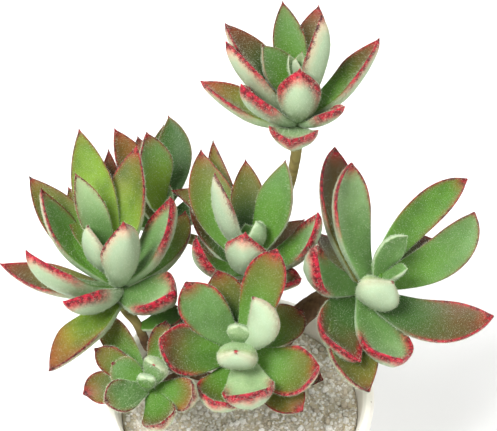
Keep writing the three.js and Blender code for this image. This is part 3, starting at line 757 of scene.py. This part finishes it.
def write_marks(piece, marks, top, under):
    """Stores on a mesh what its finish reads."""
    for name, values in marks.items():
        piece.data.attributes.new(name, "FLOAT", "POINT").data.foreach_set("value", values)
    for name, colours in (("top_tone", top), ("under_tone", under)):
        piece.data.attributes.new(name, "FLOAT_COLOR", "POINT").data.foreach_set("color", colours.ravel())


def grow_leaf(head, leaf, draw):
    """One leaf: a copy of the blank with its own mesh, drawn out along its own midline."""
    only(leaf_blank)
    bpy.ops.object.duplicate()
    piece = bpy.context.object
    point, marks, top, under = lay_leaf(blank_points, head, leaf, draw)
    piece.data.vertices.foreach_set("co", (point * MM).ravel())
    write_marks(piece, marks, top, under)
    return piece


def grow_core(head):
    """The short green axis that the leaves stand on."""
    length = (head["core"] + CORE_HEEL) * MM
    axis = axis_of(head["lean"])
    middle = Vector(np.array(head["foot"]) * MM + axis * (length / 2 - CORE_HEEL * MM))
    bpy.ops.object.select_all(action="DESELECT")
    bpy.ops.mesh.primitive_cone_add(
        vertices=CORE_SIDES, radius1=CORE_RADIUS * MM, radius2=CORE_RADIUS * CORE_TIP * MM, depth=length,
        location=middle, rotation=Vector(axis).to_track_quat("Z", "Y").to_euler(),
    )
    bpy.ops.object.transform_apply(location=True, rotation=True, scale=True)
    piece = bpy.context.object
    count = len(piece.data.vertices)
    no_red = dict(margin=9, tip=99, along=0, upper=0, red=0, own=0)
    flat = {name: np.full(count, value) for name, value in no_red.items()}
    tone = np.tile(paint(LEAF_TONES["green"]), (count, 1))
    write_marks(piece, flat, tone, tone)
    return piece


down, tree, shader = new_finish("white_down", Roughness=0.75, Specular_IOR_Level=0.3)
place = link(tree, "ShaderNodeTexCoord").outputs["Object"]
silver = clouds(tree, place, 500.0)
tree.links.new(mixed(tree, silver, paint("b6c7a2"), paint("e2ead2")), shader.inputs["Base Color"])
HAIRS_A_LEAF = 1700
HAIR_LENGTHS = (0.35, 0.75)  # in mm, as the next two are
HAIR_RADIUS = 0.03
HAIR_ROOT = 0.1  # how deep a hair is set into the skin
HAIR_SPLAY = 0.22  # spread of the hairs' directions round the upright
MARGIN_HAIRS = 3  # at the margin this many times the usual hairs are added


def grow_hairs(rosette, count, seed):
    """Short stiff hairs over all leaves as thin closed spikes, denser towards the margins."""
    draw = np.random.default_rng([ord(letter) for letter in seed])
    mesh = rosette.data
    mesh.calc_loop_triangles()
    corners = np.empty(len(mesh.loop_triangles) * 3, dtype=np.int64)
    mesh.loop_triangles.foreach_get("vertices", corners)
    corners = corners.reshape(-1, 3)
    place, normal = np.empty((2, len(mesh.vertices) * 3))
    mesh.vertices.foreach_get("co", place)
    mesh.vertices.foreach_get("normal", normal)
    place, normal = place.reshape(-1, 3)[corners], normal.reshape(-1, 3)[corners]
    margin = np.empty(len(mesh.vertices))
    mesh.attributes["margin"].data.foreach_get("value", margin)
    area = np.linalg.norm(np.cross(place[:, 1] - place[:, 0], place[:, 2] - place[:, 0]), axis=1)
    chance = area * (1 + MARGIN_HAIRS * np.exp(-margin[corners].mean(1)))
    chosen = draw.choice(len(corners), size=count, p=chance / chance.sum())
    weight = draw.dirichlet((1, 1, 1), count)[:, :, None]
    root = (place[chosen] * weight).sum(1)
    out = unit((normal[chosen] * weight).sum(1) + draw.normal(0, HAIR_SPLAY, (count, 3)))
    side = unit(np.cross(out, draw.normal(0, 1, (count, 3))))
    length = draw.uniform(*HAIR_LENGTHS, (count, 1)) * MM
    points = [root + out * length]
    for k in range(3):
        turn = 2 * math.pi * k / 3
        ring = side * math.cos(turn) + np.cross(out, side) * math.sin(turn)
        points.append(root + (ring * HAIR_RADIUS - out * HAIR_ROOT) * MM)
    points = np.stack(points, 1).reshape(-1, 3)
    spike = np.array([[0, 1, 2], [0, 2, 3], [0, 3, 1], [1, 3, 2]])
    faces = (np.arange(count)[:, None, None] * 4 + spike).reshape(-1, 3)
    mesh = bpy.data.meshes.new("hairs")
    mesh.from_pydata(points.tolist(), [], faces.tolist())
    mesh.materials.append(down)
    hairs = bpy.data.objects.new("hairs_of_" + seed, mesh)
    bpy.context.scene.collection.objects.link(hairs)
    return hairs


def joined(pieces, lead):
    """All the pieces, joined into the lead piece."""
    only(lead)
    for piece in pieces:
        piece.select_set(True)
    bpy.ops.object.join()
    return bpy.context.object


for name, head in ROSETTES.items():
    leaf_draw = random.Random(name)
    grown = [grow_core(head)] + [grow_leaf(head, leaf, leaf_draw) for leaf in head["leaves"]]
    rosette = joined(grown, grown[1])
    rosette.name = "leaves_of_" + name
    rosette.data.materials.clear()
    rosette.data.materials.append(skin)
    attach(rosette, "root")
    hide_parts(name)
    hairs = grow_hairs(rosette, len(head["leaves"]) * HAIRS_A_LEAF, name)
    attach(hairs, "root")


# Stems: one woody trunk stands in the soil and forks to a stalk under each rosette. Old wood is dark
# and rough, young stalks are tan and smooth, and both are ringed by the scars of fallen leaves.
FORK = (5, 5, 74)
STALKS = [
    # rosette it carries, radius in mm, points in mm, age at each point: 1 is old corky wood
    (None, 4.5, [(5, 5, 44), (5, 5, 59), FORK], (1, 1, 1)),
    (None, 4.4, [FORK, (10, 11, 81), (17, 19, 88)], (1, 1, 1)),
    ("rosette_right", 4.0, [(17, 19, 88), (24, 22, 94), (31, 24, 97)], (1, 0.95, 0.9)),
    ("rosette_top", 1.8, [(9, 13, 84), (8, 30, 97), (8.5, 42, 108), (14.5, 44.5, 121)],
     (1, 0.6, 0.35, 0.35)),
    ("rosette_middle", 2.3, [(10, 11, 81), (7, 17, 89), (4, 22, 97)], (1, 0.7, 0.6)),
    ("rosette_back", 2.0, [(6, 20, 91), (-2, 36, 97), (-12, 44, 102), (-20, 47, 103)], (1, 0.8, 0.6, 0.5)),
    ("rosette_left", 1.7, [FORK, (-8, 5, 77), (-20, 6, 80), (-30, 8, 88), (-35, 13, 97)],
     (1, 1, 1, 1, 0.4)),
    ("rosette_low", 2.0, [(-17, 6, 80), (-25, -2, 83)], (1, 0.8)),
    ("rosette_front", 2.6, [FORK, (4, 5, 82)], (1, 0.6)),
]
NECK_RADIUS = 1.9
NECK = 4  # straight run below a rosette's core
NECK_GAP = 0.3
NECK_AGES = (0.25, 0.0)
TRACE_STEPS = 8  # points traced along each stretch of stalk, which tell the bark its age
WOOD_GRAIN = 0.42 * MM  # fineness of the mesh that the stalks are grown together with
SCAR_STEP = 3.4
SCAR_RELIEF = dict(young=0.04, old=0.2)  # in mm; the second is added in full on the oldest wood
SCAR_WAVER = 0.12  # how far the rings are off level round the stalk
CORK_RELIEF = 0.12
CORK_GRAIN = 1.3 * MM

stalk_pieces, stalk_trace = [], []
for carried, radius, points, wood in STALKS:
    places, radii, ages = [Vector(p) for p in points], [radius] * len(points), list(wood)
    if carried:
        head = ROSETTES[carried]
        axis = Vector(axis_of(head["lean"]))
        foot = Vector(head["foot"]) - axis * CORE_HEEL
        places += [foot - axis * NECK, foot - axis * NECK_GAP]
        radii += [NECK_RADIUS, NECK_RADIUS]
        ages += NECK_AGES
    curve = bpy.data.curves.new("stalk", "CURVE")
    curve.dimensions = "3D"
    curve.resolution_u = 10
    curve.bevel_depth = MM
    curve.bevel_resolution = 4
    curve.use_fill_caps = True
    spline = curve.splines.new("BEZIER")
    spline.bezier_points.add(len(places) - 1)
    for knot, spot, thick in zip(spline.bezier_points, places, radii):
        knot.co = spot * MM
        knot.radius = thick
        knot.handle_left_type = knot.handle_right_type = "AUTO"
    stalk = bpy.data.objects.new("stalk", curve)
    bpy.context.scene.collection.objects.link(stalk)
    only(stalk)
    bpy.ops.object.convert(target="MESH")
    stalk_pieces.append(bpy.context.object)
    for a, b, old, new in zip(places, places[1:], ages, ages[1:]):
        for k in range(TRACE_STEPS):
            stalk_trace.append((*a.lerp(b, k / TRACE_STEPS), old + (new - old) * k / TRACE_STEPS))
stems = joined(stalk_pieces, stalk_pieces[0])
stems.name = "woody_stems"
grown = stems.modifiers.new("grown_together", "REMESH")
grown.mode = "VOXEL"
grown.voxel_size = WOOD_GRAIN
bpy.ops.object.modifier_apply(modifier=grown.name)
soft = stems.modifiers.new("soft_forks", "SMOOTH")
soft.factor = 0.6
soft.iterations = 6
bpy.ops.object.modifier_apply(modifier=soft.name)

trace = np.array(stalk_trace)
count = len(stems.data.vertices)
places = np.empty(count * 3)
stems.data.vertices.foreach_get("co", places)
places = places.reshape(-1, 3)
normals = np.array([v.normal for v in stems.data.vertices])
nearest = np.array([np.argmin(((trace[:, :3] - p / MM) ** 2).sum(1)) for p in places])
age = trace[nearest, 3]
for i, (p, n) in enumerate(zip(places, normals)):
    height = p[2] / MM / SCAR_STEP * 2
    rings = noise.noise(Vector((height, p[0] / MM * SCAR_WAVER, p[1] / MM * SCAR_WAVER)))
    cork = noise.noise(Vector(p) / CORK_GRAIN)
    scarred = (SCAR_RELIEF["young"] + SCAR_RELIEF["old"] * age[i]) * rings
    places[i] = p + n * MM * (scarred + CORK_RELIEF * age[i] * cork)
stems.data.vertices.foreach_set("co", places.ravel())
stems.data.attributes.new("age", "FLOAT", "POINT").data.foreach_set("value", age)
only(stems)
bpy.ops.object.shade_smooth()

bark, tree, shader = new_finish("stem_bark", Roughness=0.85, Specular_IOR_Level=0.25)
place = link(tree, "ShaderNodeTexCoord").outputs["Object"]
grown_old = mark(tree, "age")
stretched = link(tree, "ShaderNodeMapping", {"Vector": place, "Scale": (1.0, 1.0, 0.35)}).outputs["Vector"]
cork = clouds(tree, stretched, 900.0, 5.0)
patch = clouds(tree, place, 160.0, 3.0)
wave = {"Vector": place, "Scale": 70.0, "Distortion": 14.0, "Detail": 3.0}
scars = link(tree, "ShaderNodeTexWave", wave, bands_direction="Z").outputs["Fac"]
young = mixed(tree, patch, paint("77733f"), paint("93804f"))
green = mixed(tree, patch, paint("7f9a55"), paint("93a062"))
old = mixed(tree, cork, paint("2f1f16"), paint("7a5b3e"))
colour = mixed(tree, ramped(tree, grown_old, 0.0, 0.3), green, young)
colour = mixed(tree, ramped(tree, grown_old, 0.4, 0.75), colour, old)
colour = mixed(tree, ramped(tree, scars, 0.7, 0.98, 0.0, 0.3), colour, paint("54402b"))
tree.links.new(colour, shader.inputs["Base Color"])
raised(tree, shader, cork, 0.6, 0.5 * MM)
stems.data.materials.append(bark)
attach(stems, "root")
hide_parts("stems")


# Stem leaf: one small green leaf still sits on the stalk of the left rosette. It is grown as the leaves
# of the rosettes are, from the same blank, and has the same velvety skin.
STEM_SHOOT = dict(foot=(-34, 12, 96), lean=(0, 0), kind="spoon")
STEM_LEAF = (0, 15, 1, 5.5, 10, 0.5, 0, 0, "green", "deep", 0.4)
STEM_LEAF_SEED = 5
stem_leaf = grow_leaf(STEM_SHOOT, STEM_LEAF, random.Random(STEM_LEAF_SEED))
stem_leaf.name = "stem_leaf"
stem_leaf.data.materials.clear()
stem_leaf.data.materials.append(skin)
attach(stem_leaf, "root")

bpy.data.objects.remove(leaf_blank)
